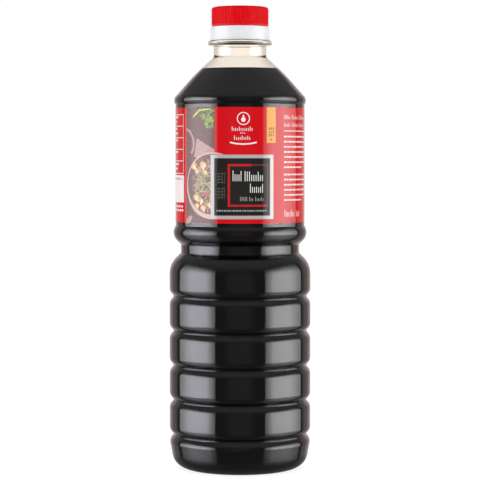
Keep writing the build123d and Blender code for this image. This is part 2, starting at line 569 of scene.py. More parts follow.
@dataclass(frozen=True)
class BottleShape:
    """Driving sizes of the bottle's outline, in metres, with slopes in degrees from vertical."""

    rib_radius: float
    mouth: float
    heel_inset: float = 2.9 * MM
    heel_round: float = 10.2 * MM
    push_up_inset: float = 14.9 * MM
    push_up_height: float = 8.0 * MM
    push_up_slope: float = 66.0
    push_up_top_round: float = 6.0 * MM
    push_up_edge_round: float = 1.5 * MM
    groove_count: int = 5
    first_groove: float = 19.8 * MM
    groove_pitch: float = 20.0 * MM
    groove_depth: float = 2.45 * MM
    groove_half_width: float = 3.2 * MM
    groove_shoulder_round: float = 4.3 * MM
    groove_bottom_round: float = 0.95 * MM
    top_rib_height: float = 18.8 * MM
    top_rib_round: float = 13.5 * MM
    top_rib_slope: float = 46.6
    waist_depth: float = 6.6 * MM
    waist_height: float = 4.9 * MM
    waist_round: float = 0.4 * MM
    lower_bead_depth: float = 2.3 * MM
    lower_bead_round: float = 6.5 * MM
    lower_bead_slope: float = 46.8
    panel_depth: float = 3.67 * MM
    panel_height: float = 69.5 * MM
    panel_edge_round: float = 0.6 * MM
    upper_bead_depth: float = 2.85 * MM
    upper_bead_round: float = 4.0 * MM
    flank_share: float = 0.95
    shoulder_slopes: tuple[float, float] = (41.4, 48.8)
    crown_place: float = 0.4
    crown_share: float = 0.64
    neck_radius: float = 15.2 * MM
    neck_height: float = 6.75 * MM
    neck_foot_round: float = 2.0 * MM
    ring_overhang: float = 3.15 * MM
    ring_thickness: float = 2.6 * MM
    ring_round: float = 1.0 * MM
    ring_root_round: float = 0.4 * MM
    finish_step: float = 0.6 * MM
    mouth_round: float = 0.3 * MM
    body_wall: float = 0.5 * MM
    foot_wall: float = 1.0 * MM
    neck_wall: float = 2.4 * MM
    neck_foot_wall: float = 1.0 * MM    # as thin as it looks below the ring
    neck_taper: float = 3.0 * MM        # height over which it thickens behind the collar
    neck_taper_round: float = 1.0 * MM

    @property
    def panel_radius(self) -> float:
        """Radius of the label's panel."""
        return self.rib_radius - self.panel_depth

    def bead_corner(self, depth: float, rounding: float, lower: float, upper: float) -> float:
        """Radius of the sharp corner where a bead's flanks would meet outside its crest."""
        reach = rounding / cos(radians(lower + upper) / 2)
        middle = radians(upper - lower) / 2
        return self.rib_radius - depth - rounding + reach * cos(middle)

    def panel_side_slope(self, depth: float, rounding: float) -> float:
        """Slope of the flank between a bead's crest and the panel."""
        step = self.panel_depth - depth
        return self.flank_share * degrees(acos(1 - step / (rounding + self.panel_edge_round)))

    def foot(self) -> list[Corner]:
        """Hollow and heel under the bottle, from the axis out."""
        edge = self.rib_radius - self.push_up_inset
        top = edge - self.push_up_height * tan(radians(self.push_up_slope))
        return [
            Corner(0, self.push_up_height, 0, self.foot_wall),
            Corner(top, self.push_up_height, self.push_up_top_round, self.foot_wall),
            Corner(edge, 0, self.push_up_edge_round, self.foot_wall),
            Corner(self.rib_radius - self.heel_inset, 0, self.heel_round, self.body_wall),
        ]

    def grooves(self) -> list[Corner]:
        """The grip grooves, each a V with rounded shoulders."""
        corners = []
        for index in range(self.groove_count):
            height = self.first_groove + index * self.groove_pitch
            for side in (-1, 0, 1):
                radius = self.rib_radius if side else self.rib_radius - self.groove_depth
                rounding = self.groove_shoulder_round if side else self.groove_bottom_round
                place = height + side * self.groove_half_width
                corners.append(Corner(radius, place, rounding, self.body_wall))
        return corners

    def upper(self) -> list[Corner]:
        """Top rib, waist, beads, label panel and shoulder, up to the neck's foot."""

        def rise(change: float, slope: float) -> float:
            """Height that a flank climbs while its radius changes."""
            return abs(change) / tan(radians(slope))

        rib_top = self.first_groove + (self.groove_count - 1) * self.groove_pitch + self.top_rib_height
        waist = self.rib_radius - self.waist_depth
        waist_foot = rib_top + rise(self.waist_depth, self.top_rib_slope)
        waist_top = waist_foot + self.waist_height
        inner = self.panel_side_slope(self.lower_bead_depth, self.lower_bead_round)
        lower = self.bead_corner(
            self.lower_bead_depth, self.lower_bead_round, self.lower_bead_slope, inner
        )
        lower_top = waist_top + rise(lower - waist, self.lower_bead_slope)
        panel_foot = lower_top + rise(lower - self.panel_radius, inner)
        panel_top = panel_foot + self.panel_height
        inner = self.panel_side_slope(self.upper_bead_depth, self.upper_bead_round)
        upper = self.bead_corner(
            self.upper_bead_depth, self.upper_bead_round, inner, self.shoulder_slopes[0]
        )
        upper_top = panel_top + rise(upper - self.panel_radius, inner)
        crown = self.neck_radius + self.crown_place * (upper - self.neck_radius)
        crown_height = upper_top + rise(upper - crown, self.shoulder_slopes[0])
        neck_foot = crown_height + rise(crown - self.neck_radius, self.shoulder_slopes[1])
        run = (neck_foot - crown_height) / cos(radians(self.shoulder_slopes[1]))
        half_turn = radians(self.shoulder_slopes[1] - self.shoulder_slopes[0]) / 2
        places = (
            (self.rib_radius, rib_top, self.top_rib_round),
            (waist, waist_foot, self.waist_round),
            (waist, waist_top, self.waist_round),
            (lower, lower_top, self.lower_bead_round),
            (self.panel_radius, panel_foot, self.panel_edge_round),
            (self.panel_radius, panel_top, self.panel_edge_round),
            (upper, upper_top, self.upper_bead_round),
            (crown, crown_height, self.crown_share * run / tan(half_turn)),
        )
        corners = [Corner(*place, self.body_wall) for place in places]
        return corners + [Corner(self.neck_radius, neck_foot, self.neck_foot_round, self.neck_wall)]

    def body(self) -> list[Corner]:
        """Outside of the bottle from its foot to the neck's foot."""
        return self.foot() + self.grooves() + self.upper()

    def finish(self, neck_foot: float) -> list[Corner]:
        """Neck ring and mouth tube above the neck's foot."""
        ring_foot = neck_foot + self.neck_height
        ring_top = ring_foot + self.ring_thickness
        ring = self.neck_radius + self.ring_overhang
        tube = self.neck_radius - self.finish_step
        return [
            Corner(self.neck_radius, ring_foot, self.ring_root_round),
            Corner(ring, ring_foot, self.ring_round),
            Corner(ring, ring_top, self.ring_round),
            Corner(tube, ring_top),
            Corner(tube, self.mouth, self.mouth_round),
        ]

    def inset(self, corners: list[Corner], clearance: float) -> list[Corner]:
        """Moves an outline into the bottle.

        Args:
            corners: The outline, from the axis to its last run's end.
            clearance: Distance beyond each run's wall, negative to stay inside the wall.

        Returns:
            The moved outline.
        """
        lines = []
        for start, end in pairwise(corners):
            along = (end.place - start.place).normalized()
            inward = Vector((-along.y, along.x)) * (start.wall + clearance)
            lines.append((start.place + inward, along))
        moved = [Corner(corners[0].radius, lines[0][0].y)]
        for corner, (before, into), (after, out) in zip(corners[1:], lines, lines[1:]):
            turn = cross(into, out)
            place = before + into * (cross(after - before, out) / turn)
            thinning = self.body_wall + clearance
            rounding = corner.rounding - thinning if turn > 0 else corner.rounding + thinning
            moved.append(Corner(place.x, place.y, max(rounding, 0.0)))
        moved.append(Corner(lines[-1][0].x, corners[-1].height))
        return moved

    def neck_inside(self, crown: Corner, neck: Corner) -> list[Corner]:
        """Inside of a neck whose wall grows to its full thickness above the ring.

        Args:
            crown: The cavity's corner in the shoulder.
            neck: The cavity's corner at the foot of a neck with an even wall.

        Returns:
            The cavity's corners at the neck's foot, at the ring's top and above it.
        """
        radius = self.neck_radius - self.neck_foot_wall
        share = (radius - crown.radius) / (neck.radius - crown.radius)
        height = crown.height + share * (neck.height - crown.height)
        ring_top = self.body()[-1].height + self.neck_height + self.ring_thickness
        return [
            Corner(radius, height, neck.rounding),
            Corner(radius, ring_top, self.neck_taper_round),
            Corner(neck.radius, ring_top + self.neck_taper, self.neck_taper_round),
        ]


@dataclass
class Bottle:
    """Clear shell and the sauce that fills it."""

    shape: BottleShape
    level: float                        # the sauce's surface
    turns: int = 160                    # faces round the axis
    settle: float = 0.32 * MM           # surface below the frame's, as seen through the wall
    creep: float = 0.02 * MM            # rise of the sauce's edge at the wall
    creep_width: float = 1.1 * MM
    creep_round: float = 1.0 * MM
    sauce_share: float = 0.5            # part of the body's wall that the sauce reaches into
    plastic: ClearPlastic = ClearPlastic()
    sauce: Coating = Coating(
        "soy_sauce",
        (0.0042, 0.0026, 0.0021),
        roughness=0.4,
        gloss=0.0,
        mottle=0.2,
        mottle_scale=60,
        grain=0.002 * MM,
        grain_scale=120,
    )

    def build(self) -> None:
        """Models and dresses the shell and the sauce."""
        shell = self.model_shell()
        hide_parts("bottle")
        dress(shell, self.plastic)
        sauce = self.model_sauce()
        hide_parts("soy_sauce")
        dress(sauce, self.sauce)

    def model_shell(self) -> bpy.types.Object:
        """Outside, mouth and cavity of the bottle as one closed skin."""
        body = self.shape.body()
        outside = body + self.shape.finish(body[-1].height)
        cavity = self.shape.inset(body + [Corner(self.shape.neck_radius, self.shape.mouth)], 0)
        cavity[-2:-1] = self.shape.neck_inside(*cavity[-3:-1])
        shell = draw_outline("bottle_shell", outside + cavity[::-1])
        turn_outline(shell, self.turns)
        smooth(shell)
        return shell

    def model_sauce(self) -> bpy.types.Object:
        """Sauce that reaches into the wall, with its edge drawn up the wall a little."""
        reach = -self.sauce_share * self.shape.body_wall
        body = self.shape.body()
        side = self.shape.inset(body + [Corner(self.shape.neck_radius, self.shape.mouth)], reach)
        sauce = draw_outline("soy_sauce_fill", side)
        level = self.level - self.settle
        top = level + self.creep
        bpy.ops.mesh.select_all(action="SELECT")
        bpy.ops.mesh.bisect(plane_co=(0, 0, top), plane_no=(0, 0, 1), clear_outer=True)
        select_where(sauce, lambda place: place.z > top - WELD)
        radius = max(vertex.co.x for vertex in bmesh.from_edit_mesh(sauce.data).verts if vertex.select)
        pen = Pen.resume(sauce, Vector((radius, top)))
        corner = Corner(radius - self.creep_width, level, self.creep_round)
        pen.round_corner(pen.place, corner, Vector((0, level)))
        pen.line_to(Vector((0, level)))
        turn_outline(sauce, self.turns)
        smooth(sauce)
        return sauce


# ---------------------------------------------------------------- collar and cap


@dataclass
class Closure:
    """White collar on the neck's ring, and the knurled red cap above it."""

    collar_box: tuple[Vector, Vector]
    cap_box: tuple[Vector, Vector]
    tube_radius: float                  # mouth tube that both fit over
    mouth: float
    fit: float = 0.1 * MM
    collar_flare: float = 0.5 * MM
    collar_round: float = 0.4 * MM
    collar_turns: int = 192
    cap_top_round: float = 1.5 * MM
    cap_edge_round: float = 0.4 * MM
    crown_inset: float = 2.4 * MM       # faint step on top of the cap
    crown_step: float = 0.15 * MM
    crown_run: float = 0.5 * MM
    crown_round: float = 0.3 * MM
    knurl_count: int = 80
    knurl_steps: int = 8                # faces across one knurl
    knurl_depth: float = 0.55 * MM
    knurl_start: float = 1.1 * MM       # plain band at the cap's foot
    knurl_foot: tuple[float, float] = (0.15 * MM, 0.25 * MM)    # edge loops below and above it
    knurl_fade: float = 0.35            # part of the top's rounding that the knurls cross
    hollow_power: float = 0.8           # below 1 for hollows with a flatter bottom
    white: Coating = Coating(
        "white_plastic",
        srgb(242, 241, 249),
        roughness=0.28,
        mottle=0.012,
        grain=0.006 * MM,
        bleed=0.9,
        bleed_reach=5.0 * MM,
    )
    red: Coating = Coating(
        "red_plastic",
        srgb(227, 3, 17),
        roughness=0.26,
        gloss=0.17,
        mottle=0.03,
        grain=0.008 * MM,
        grain_scale=1400,
        # Painted shade: the knurls' hollows, inside this radius, get a darker red
        painted_shade_radius=15.75 * MM,
        painted_shade_tone=0.5,
    )

    def build(self) -> None:
        """Models and dresses the collar and the cap."""
        collar = self.model_collar()
        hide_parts("collar")
        dress(collar, self.white)
        cap = self.model_cap()
        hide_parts("screw_cap")
        dress(cap, self.red)

    def model_collar(self) -> bpy.types.Object:
        """Turned ring that flares a little towards its foot."""
        low, high = self.collar_box
        inner = self.tube_radius + self.fit
        corners = [
            Corner(inner, low.z),
            Corner(high.x, low.z, self.collar_round),
            Corner(high.x - self.collar_flare, high.z, self.collar_round),
            Corner(inner, high.z),
            Corner(inner, low.z),
        ]
        collar = draw_outline("neck_collar", corners)
        turn_outline(collar, self.collar_turns)
        smooth(collar)
        return collar

    def model_cap(self) -> bpy.types.Object:
        """Turned cap, whose skirt is then pressed in between the knurls."""
        low, high = self.cap_box
        inner = self.tube_radius + self.fit
        outer = high.x
        knurl_foot = low.z + self.knurl_start
        below, above = self.knurl_foot
        levels = (knurl_foot - below, knurl_foot, knurl_foot + above, high.z - self.cap_top_round)
        step_edge = outer - self.crown_inset
        step_foot = high.z - self.crown_step
        corners = [
            Corner(0, self.mouth),
            Corner(inner, self.mouth),
            Corner(inner, low.z),
            Corner(outer, low.z, self.cap_edge_round),
            *(Corner(outer, level) for level in levels),
            Corner(outer, high.z, self.cap_top_round),
            Corner(step_edge, high.z, self.crown_round),
            Corner(step_edge - self.crown_run, step_foot, self.crown_round),
            Corner(0, step_foot),
        ]
        cap = draw_outline("screw_cap_knurled", corners)
        turn_outline(cap, self.knurl_count * self.knurl_steps)
        self.press_knurls(cap, outer, knurl_foot)
        smooth(cap, radians(50))
        return cap

    def press_knurls(self, cap: bpy.types.Object, outer: float, foot: float) -> None:
        """Moves the skirt's vertices between the knurls in towards the axis.

        Args:
            cap: The turned cap.
            outer: The skirt's radius.
            foot: Height where the knurls start.
        """
        bpy.ops.object.mode_set(mode="EDIT")
        top = self.cap_box[1].z - self.knurl_fade * self.cap_top_round
        pitch = 2 * pi / self.knurl_count
        for step in range(1, self.knurl_steps):
            hollow = sin(pi * step / self.knurl_steps) ** self.hollow_power

            def in_hollow(place: Vector, step: int = step) -> bool:
                """Whether a vertex lies on the knurled skirt at this part of a hollow."""
                if not foot - 0.01 * MM < place.z < top or hypot(place.x, place.y) < outer - 1 * MM:
                    return False
                turn = Vector((1, 0)).angle_signed(Vector((place.x, place.y))) % pitch
                return round(turn / pitch * self.knurl_steps) == step

            select_where(cap, in_hollow)
            scale = 1 - self.knurl_depth * hollow / outer
            bpy.ops.transform.resize(value=(scale, scale, 1), center_override=(0, 0, 0))
        bpy.ops.object.mode_set(mode="OBJECT")


# ---------------------------------------------------------------- label


FACET = 1.3 * MM            # widest flat stretch of print once it is wrapped
INK_STEP = 0.018 * MM       # height of one layer of print
INK_FILM = 0.01 * MM        # thickness of the print itself
PRINT_MOTTLE = 0.03
VARNISH_GLOSS = 0.38
UPRIGHT = (pi / 2, 0.0, 0.0)
DASH_GAP = (0.45, 0.7)      # between dashes of small print, in heights
TICK_WIDTH = 0.34           # of the ticks' pitch
TICK_HEIGHTS = (0.6, 0.62, 0.66, 0.95)      # of a tall tick's height


class Stencil:
    """One colour of print, drawn flat in edit mode and then wrapped round the label.

    Flat, X runs along the label to the right from the front's middle, Z up from the label's
    foot, and -Y outwards.
    """

    def __init__(self, name: str, layer: int) -> None:
        """Starts an empty sheet.

        Args:
            name: The piece's name.
            layer: How many layers of print lie under it, and one more.
        """
        bpy.ops.object.select_all(action="DESELECT")
        bpy.ops.mesh.primitive_plane_add(size=MM, enter_editmode=True)
        bpy.ops.mesh.delete(type="VERT")
        self.piece = bpy.context.active_object
        self.piece.name = name
        self.piece.data.name = name
        self.depth = -layer * INK_STEP

    def bar(self, left: float, foot: float, width: float, height: float) -> None:
        """Adds an upright rectangle."""
        middle = (left + width / 2, self.depth, foot + height / 2)
        bpy.ops.mesh.primitive_plane_add(size=1, location=middle, rotation=UPRIGHT)
        bpy.ops.transform.resize(value=(width, 1, height), center_override=middle)

    def frame(self, left: float, foot: float, width: float, height: float, rail: float,
              post: float) -> None:
        """Adds a rectangle's outline, with rails and posts that lie inside the rectangle."""
        self.bar(left, foot, width, rail)
        self.bar(left, foot + height - rail, width, rail)
        self.bar(left, foot + rail, post, height - 2 * rail)
        self.bar(left + width - post, foot + rail, post, height - 2 * rail)

    def patch(self, *places: tuple[float, float]) -> None:
        """Adds a filled shape whose straight sides run through the given places in turn."""
        bpy.ops.mesh.primitive_plane_add(size=MM, location=(places[0][0], self.depth, places[0][1]))
        bpy.ops.mesh.merge(type="CENTER")
        for (x, z), (next_x, next_z) in pairwise(places):
            bpy.ops.mesh.extrude_region_move(
                TRANSFORM_OT_translate={"value": (next_x - x, 0, next_z - z)}
            )
        bpy.ops.mesh.select_linked()
        bpy.ops.mesh.edge_face_add()

    def oval(self, x: float, z: float, width: float, height: float, tilt: float = 0.0,
             sides: int = 20) -> None:
        """Adds a filled ellipse, tilted anticlockwise by so many radians."""
        middle = (x, self.depth, z)
        bpy.ops.mesh.primitive_circle_add(
            vertices=sides, radius=0.5, fill_type="NGON", location=middle, rotation=UPRIGHT
        )
        bpy.ops.transform.resize(value=(width, 1, height), center_override=middle)
        if tilt:
            bpy.ops.transform.rotate(value=tilt, orient_axis="Y", center_override=middle)

    def stroke(self, x: float, z: float, radius: float, width: float, start: float,
               sweep: float) -> None:
        """Adds a curved stroke about a centre.

        Args:
            x: The centre's place along the label.
            z: The centre's height.
            radius: Radius of the stroke's middle.
            width: The stroke's width.
            start: Where it starts, in degrees anticlockwise from the right.
            sweep: Degrees that it runs through.
        """
        spoke = Vector((cos(radians(start)), 0, sin(radians(start))))
        inner = Vector((x, self.depth, z)) + spoke * (radius - width / 2)
        bpy.ops.mesh.primitive_plane_add(size=MM, location=inner)
        bpy.ops.mesh.merge(type="CENTER")
        bpy.ops.mesh.extrude_region_move(TRANSFORM_OT_translate={"value": spoke * width})
        bpy.ops.mesh.select_linked()
        bpy.ops.mesh.spin(
            steps=max(3, ceil(abs(sweep) / 8)),
            angle=radians(sweep),
            center=(x, self.depth, z),
            axis=View.SIDE.spin_axis,
        )
        bpy.ops.mesh.select_linked()

    def trim(self, edge: float, keep_right: bool) -> None:
        """Cuts the selected shape at an upright line and keeps one side."""
        bpy.ops.mesh.bisect(
            plane_co=(edge, 0, 0),
            plane_no=(1, 0, 0),
            clear_inner=keep_right,
            clear_outer=not keep_right,
        )

    def words(self, left: float, foot: float, width: float, height: float, rng: random.Random,
              word: tuple[float, float] = (3.0, 9.0)) -> None:
        """Adds a row of plain dashes that stands for a line of small print.

        Args:
            left: Where the row starts.
            foot: The row's foot.
            width: The row's length.
            height: The dashes' height.
            rng: Source of the dashes' lengths.
            word: Shortest and longest dash, in heights.
        """
        place = left
        while place < left + width - height:
            length = min(rng.uniform(*word) * height, left + width - place)
            self.bar(place, foot, length, height)
            place += length + rng.uniform(*DASH_GAP) * height

    def pickets(self, left: float, foot: float, width: float, height: float,
                rng: random.Random, pitch: float = 1.2 * MM) -> None:
        """Adds upright ticks of uneven height that stand for a word in large print."""
        count = max(2, round(width / pitch))
        for index in range(count):
            tall = height * (rng.choice(TICK_HEIGHTS) if index else 1.0)
            self.bar(left + index * width / count, foot, TICK_WIDTH * width / count, tall)

    def wrap(self, radius: float, foot: float) -> bpy.types.Object:
        """Cuts the sheet into narrow facets, bends it round the label and gives it thickness.

        Args:
            radius: The label's outer radius.
            foot: Height of the label's foot.

        Returns:
            The finished piece.
        """
        self.face_outwards()
        places = [vertex.co.x for vertex in bmesh.from_edit_mesh(self.piece.data).verts]
        first, last = ceil(min(places) / FACET), ceil(max(places) / FACET)
        for index in range(first, last):
            bpy.ops.mesh.select_all(action="SELECT")
            bpy.ops.mesh.bisect(plane_co=(index * FACET, 0, 0), plane_no=(1, 0, 0))
        bpy.ops.mesh.select_all(action="SELECT")
        bpy.ops.transform.translate(value=(0, 0, foot))
        bpy.ops.object.mode_set(mode="OBJECT")
        hoop = wrapping_hoop(radius)
        apply_modifier(self.piece, "CURVE", object=hoop, deform_axis="POS_X")
        bpy.data.objects.remove(hoop)
        apply_modifier(self.piece, "SOLIDIFY", thickness=INK_FILM, offset=-1.0)
        bpy.ops.object.select_all(action="DESELECT")
        self.piece.select_set(True)
        bpy.ops.object.transform_apply(location=True, rotation=True, scale=True)
        bpy.ops.object.shade_smooth_by_angle(angle=radians(20))
        return self.piece

    def face_outwards(self) -> None:
        """Turns every flat shape towards -Y."""
        bpy.ops.mesh.select_mode(type="FACE")
        sheet = bmesh.from_edit_mesh(self.piece.data)
        for face in sheet.faces:
            face.normal_update()
            face.select_set(face.normal.y > 0)
        bmesh.update_edit_mesh(self.piece.data)
        bpy.ops.mesh.flip_normals()
        bpy.ops.mesh.select_mode(type="VERT")


def wrapping_hoop(radius: float) -> bpy.types.Object:
    """Circle that a flat sheet follows from -Y towards +X."""
    bpy.ops.object.select_all(action="DESELECT")
    bpy.ops.curve.primitive_bezier_circle_add(radius=radius, rotation=(0, 0, pi / 2))
    bpy.ops.object.transform_apply(location=True, rotation=True, scale=True)
    hoop = bpy.context.active_object
    hoop.data.resolution_u = 64
    bpy.ops.object.mode_set(mode="EDIT")
    bpy.ops.curve.select_all(action="SELECT")
    bpy.ops.curve.switch_direction()
    bpy.ops.object.mode_set(mode="OBJECT")
    return hoop


class Tone(Enum):
    """Colours of the label's film and print, each part from 0 to 255."""

    RED = (206, 9, 22)
    BOARD = (98, 56, 44)
    PLANKS = (178, 142, 132)
    CUP = (170, 140, 136)
    BOWL_RIM = (214, 170, 162)
    BROTH = (100, 64, 54)
    DARK_NOODLES = (120, 84, 72)
    LIGHT_NOODLES = (200, 168, 140)
    MUSHROOMS = (220, 168, 116)
    STALKS = (240, 206, 160)
    DARK_LEAVES = (92, 116, 50)
    BRIGHT_LEAVES = (150, 170, 74)
    STEM = (190, 200, 84)
    CHILLI = (214, 70, 60)
    SILVER = (178, 173, 175)
    BLACK = (34, 31, 28)
    BRIGHT_SQUARE = (196, 28, 42)
    FADED_SQUARE = (104, 50, 56)
    PLATE_MARKS = (88, 84, 82)
    NAME = (238, 238, 236)
    MOTTO = (170, 168, 164)
    EMBLEM = (246, 238, 238)
    TAB = (236, 162, 58)
    TAB_MARKS = (110, 66, 30)
    ROWS = (244, 234, 234)
    BOX_ROWS = (214, 150, 180)


def ink(
    name: str, tone: Tone, mottle: float = PRINT_MOTTLE, gloss: float = VARNISH_GLOSS
) -> Coating:
    """Finish of one colour of print under the label's varnish."""
    return Coating(
        name,
        srgb(*tone.value),
        roughness=0.07,
        gloss=gloss,
        mottle=mottle,
        mottle_scale=900,
        grain=0.0015 * MM,
        grain_scale=260,
    )


@dataclass
class Label:
    """Film wrapped once round the panel, which the print is laid on."""

    box: tuple[Vector, Vector]
    film_thickness: float = 0.1 * MM
    lap: float = 12.0 * MM              # overlap of the film's glued ends, at the back
    ramp: float = 1.2 * MM              # where the outer end climbs onto the inner one
    turns: int = 240
    foot_cut: float = 0.7 * MM          # artwork that falls below the film's foot

    @property
    def radius(self) -> float:
        """The film's outer radius."""
        return self.box[1].x

    @property
    def height(self) -> float:
        """The film's height."""
        return self.box[1].z - self.box[0].z

    def build(self) -> None:
        """Models and dresses the film."""
        film = self.model_film()
        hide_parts("label")
        dress(film, ink("label_film_red", Tone.RED))

    def lay(
        self,
        stencil: Stencil,
        tone: Tone,
        mottle: float = PRINT_MOTTLE,
        gloss: float = VARNISH_GLOSS,
    ) -> None:
        """Wraps a stencil round the film and dresses it in its ink."""
        piece = stencil.wrap(self.radius, self.box[0].z - self.foot_cut)
        dress(piece, ink(f"{piece.name}_ink", tone, mottle, gloss))

    def model_film(self) -> bpy.types.Object:
        """Film drawn from above as one long strip, pulled up to its height, then thickened."""
        lap_angle = self.lap / self.radius
        ramp_angle = self.ramp / self.radius
        start_angle = pi / 2 - lap_angle / 2
        round_angle = 2 * pi - ramp_angle
        start = Vector((cos(start_angle), sin(start_angle))) * self.radius
        pen = Pen("label_film", start, View.TOP)
        pen.arc(Vector((0, 0)), round_angle, self.turns)
        lapped = self.radius + self.film_thickness
        pen.line_to(Vector((cos(start_angle), sin(start_angle))) * lapped)
        pen.arc(Vector((0, 0)), lap_angle, ceil(self.turns * lap_angle / (2 * pi)))
        bpy.ops.mesh.select_all(action="SELECT")
        bpy.ops.transform.translate(value=(0, 0, self.box[0].z))
        bpy.ops.mesh.extrude_region_move(TRANSFORM_OT_translate={"value": (0, 0, self.height)})
        bpy.ops.mesh.select_mode(type="FACE")
        sheet = bmesh.from_edit_mesh(pen.piece.data)
        for face in sheet.faces:
            face.normal_update()
            middle = face.calc_center_median()
            face.select_set(face.normal.dot(Vector((middle.x, middle.y, 0))) < 0)
        bmesh.update_edit_mesh(pen.piece.data)
        bpy.ops.mesh.flip_normals()
        bpy.ops.mesh.select_mode(type="VERT")
        bpy.ops.object.mode_set(mode="OBJECT")
        apply_modifier(pen.piece, "SOLIDIFY", thickness=self.film_thickness, offset=-1.0)
        smooth(pen.piece, radians(30))
        return pen.piece


# The classes below draw the label's artwork. A size of theirs without MM is in millimetres,
# and places run to the right from the front's middle and up from the artwork's foot.


@dataclass
class BowlPicture:
    """Picture of a noodle bowl and a sprig of herbs on a dark board."""

    label: Label
    left: float = -35.4 * MM
    right: float = -14.6 * MM
    bowl_x: float = -16.0 * MM
    bowl_z: float = 21.9 * MM
    bowl_radius: float = 18.8 * MM
    broth_width: float = 35.6 * MM
    broth_height: float = 34.0 * MM
    broth_lift: float = 0.8 * MM        # above the bowl's middle
    round_sides: int = 96               # of the bowl and the broth
    plank_left: tuple[tuple[float, float], ...] = ((-26.4, 48.6), (-28.6, 38.0))
    plank_right: tuple[float, float] = (36.0, 42.2)     # its heights at the picture's edge
    dark_noodles: int = 84
    light_noodles: int = 72
    noodle_widths: tuple[float, float] = (0.6 * MM, 0.38 * MM)      # dark and light
    noodle_spread: float = 13.2 * MM    # from the bowl's middle
    noodle_bend: tuple[float, float] = (2.2 * MM, 5.0 * MM)
    noodle_sweep: tuple[float, float] = (50, 110)       # degrees
    # Each mushroom's place, height, width, and tilt in degrees
    mushrooms: tuple[tuple[float, float, float, float], ...] = (
        (-28.6, 33.0, 4.4, 40), (-26.6, 30.2, 3.0, -30), (-22.0, 33.6, 4.8, -20),
        (-20.6, 29.6, 3.0, 10), (-26.8, 15.4, 4.4, 15), (-23.4, 13.4, 3.8, -35),
        (-22.0, 9.4, 3.8, 10), (-26.2, 10.8, 3.2, -10), (-18.0, 11.2, 3.4, 20),
    )
    # Each spring onion ring's place and height
    onions: tuple[tuple[float, float], ...] = (
        (-23.4, 25.4), (-21.5, 20.8), (-18.3, 28.0), (-19.9, 14.4), (-22.6, 22.8),
        (-17.5, 22.5), (-25.8, 21.0), (-20.3, 26.4), (-28.5, 26.5), (-18.6, 19.5),
    )
    dark_leaves: int = 110
    bright_leaves: int = 44
    sprig_top: float = 64.8 * MM
    sprig_height: float = 10.5 * MM
    sprig_left: float = -26.2 * MM
    sprig_right: float = -14.8 * MM
    sprig_taper: float = 7.0 * MM       # how far its left side moves in on the way down
    leaf_length: tuple[float, float] = (1.3 * MM, 2.7 * MM)
    leaf_width: tuple[float, float] = (0.5 * MM, 0.9 * MM)

    def build(self) -> None:
        """Lays every colour of the picture."""
        rng = random.Random(7)
        self.lay_board()
        self.lay_bowl()
        self.lay_noodles(rng)
        self.lay_mushrooms()
        self.lay_leaves(rng)
        stem = Stencil("print_stem", 9)
        stem.oval(*mm(-26.6, 62.6, 8.0, 1.2), radians(38), 16)
        stem.oval(*mm(-20.8, 64.6, 8.0, 0.9), radians(8), 12)
        self.label.lay(stem, Tone.STEM, 0.1)
        chilli = Stencil("print_chilli", 9)
        chilli.oval(*mm(-19.2, 16.9, 2.7, 2.4), 0.3)
        self.label.lay(chilli, Tone.CHILLI, 0.15)

    def crop(self, sheet: Stencil) -> None:
        """Cuts the selected shape off at both sides of the picture."""
        sheet.trim(self.left, True)
        sheet.trim(self.right, False)

    def lay_board(self) -> None:
        """Dark board, the paler planks on it, and a cup's edge."""
        board = Stencil("print_board", 1)
        board.bar(self.left, self.label.foot_cut, self.right - self.left, self.label.height)
        self.label.lay(board, Tone.BOARD, 0.35)

        planks = Stencil("print_planks", 2)
        planks.patch(
            *(mm(*place) for place in self.plank_left),
            *((self.right, height * MM) for height in self.plank_right),
        )
        planks.oval(*mm(-33, 2.5, 7, 3.5), radians(35))
        planks.trim(self.left, True)
        self.label.lay(planks, Tone.PLANKS, 0.15)

        cup = Stencil("print_cup", 2)
        cup.stroke(*mm(-37.5, 45.5, 8.6, 1.5), -40, 115)
        cup.trim(self.left, True)
        self.label.lay(cup, Tone.CUP, 0.1)

    def lay_bowl(self) -> None:
        """Bowl, of which the rim stays in view, and the broth in it."""
        rim = Stencil("print_bowl_rim", 3)
        width = 2 * self.bowl_radius
        rim.oval(self.bowl_x, self.bowl_z, width, width, sides=self.round_sides)
        self.crop(rim)
        self.label.lay(rim, Tone.BOWL_RIM, 0.08)

        broth = Stencil("print_broth", 4)
        height = self.bowl_z + self.broth_lift
        broth.oval(
            self.bowl_x, height, self.broth_width, self.broth_height, sides=self.round_sides
        )
        self.crop(broth)
        self.label.lay(broth, Tone.BROTH, 0.3)

    def lay_noodles(self, rng: random.Random) -> None:
        """Dark strands, then light ones over them."""
        dark, light = self.noodle_widths
        for name, layer, tone, count, width in (
            ("print_noodles_dark", 5, Tone.DARK_NOODLES, self.dark_noodles, dark),
            ("print_noodles_light", 6, Tone.LIGHT_NOODLES, self.light_noodles, light),
        ):
            noodles = Stencil(name, layer)
            for _ in range(count):
                self.add_noodle(noodles, rng, width)
            self.label.lay(noodles, tone, 0.15)

    def add_noodle(self, noodles: Stencil, rng: random.Random, width: float) -> None:
        """Adds one strand that stays inside the bowl and the picture."""
        away = self.noodle_spread * rng.random() ** 0.5
        turn = rng.uniform(0.5 * pi, 1.5 * pi)
        x = self.bowl_x + away * cos(turn)
        z = self.bowl_z + away * sin(turn)
        bend = rng.uniform(*self.noodle_bend)
        facing = rng.uniform(0, 360)
        sweep = rng.uniform(*self.noodle_sweep)
        middle = radians(facing + sweep / 2)
        noodles.stroke(x - bend * cos(middle), z - bend * sin(middle), bend, width, facing, sweep)
        self.crop(noodles)

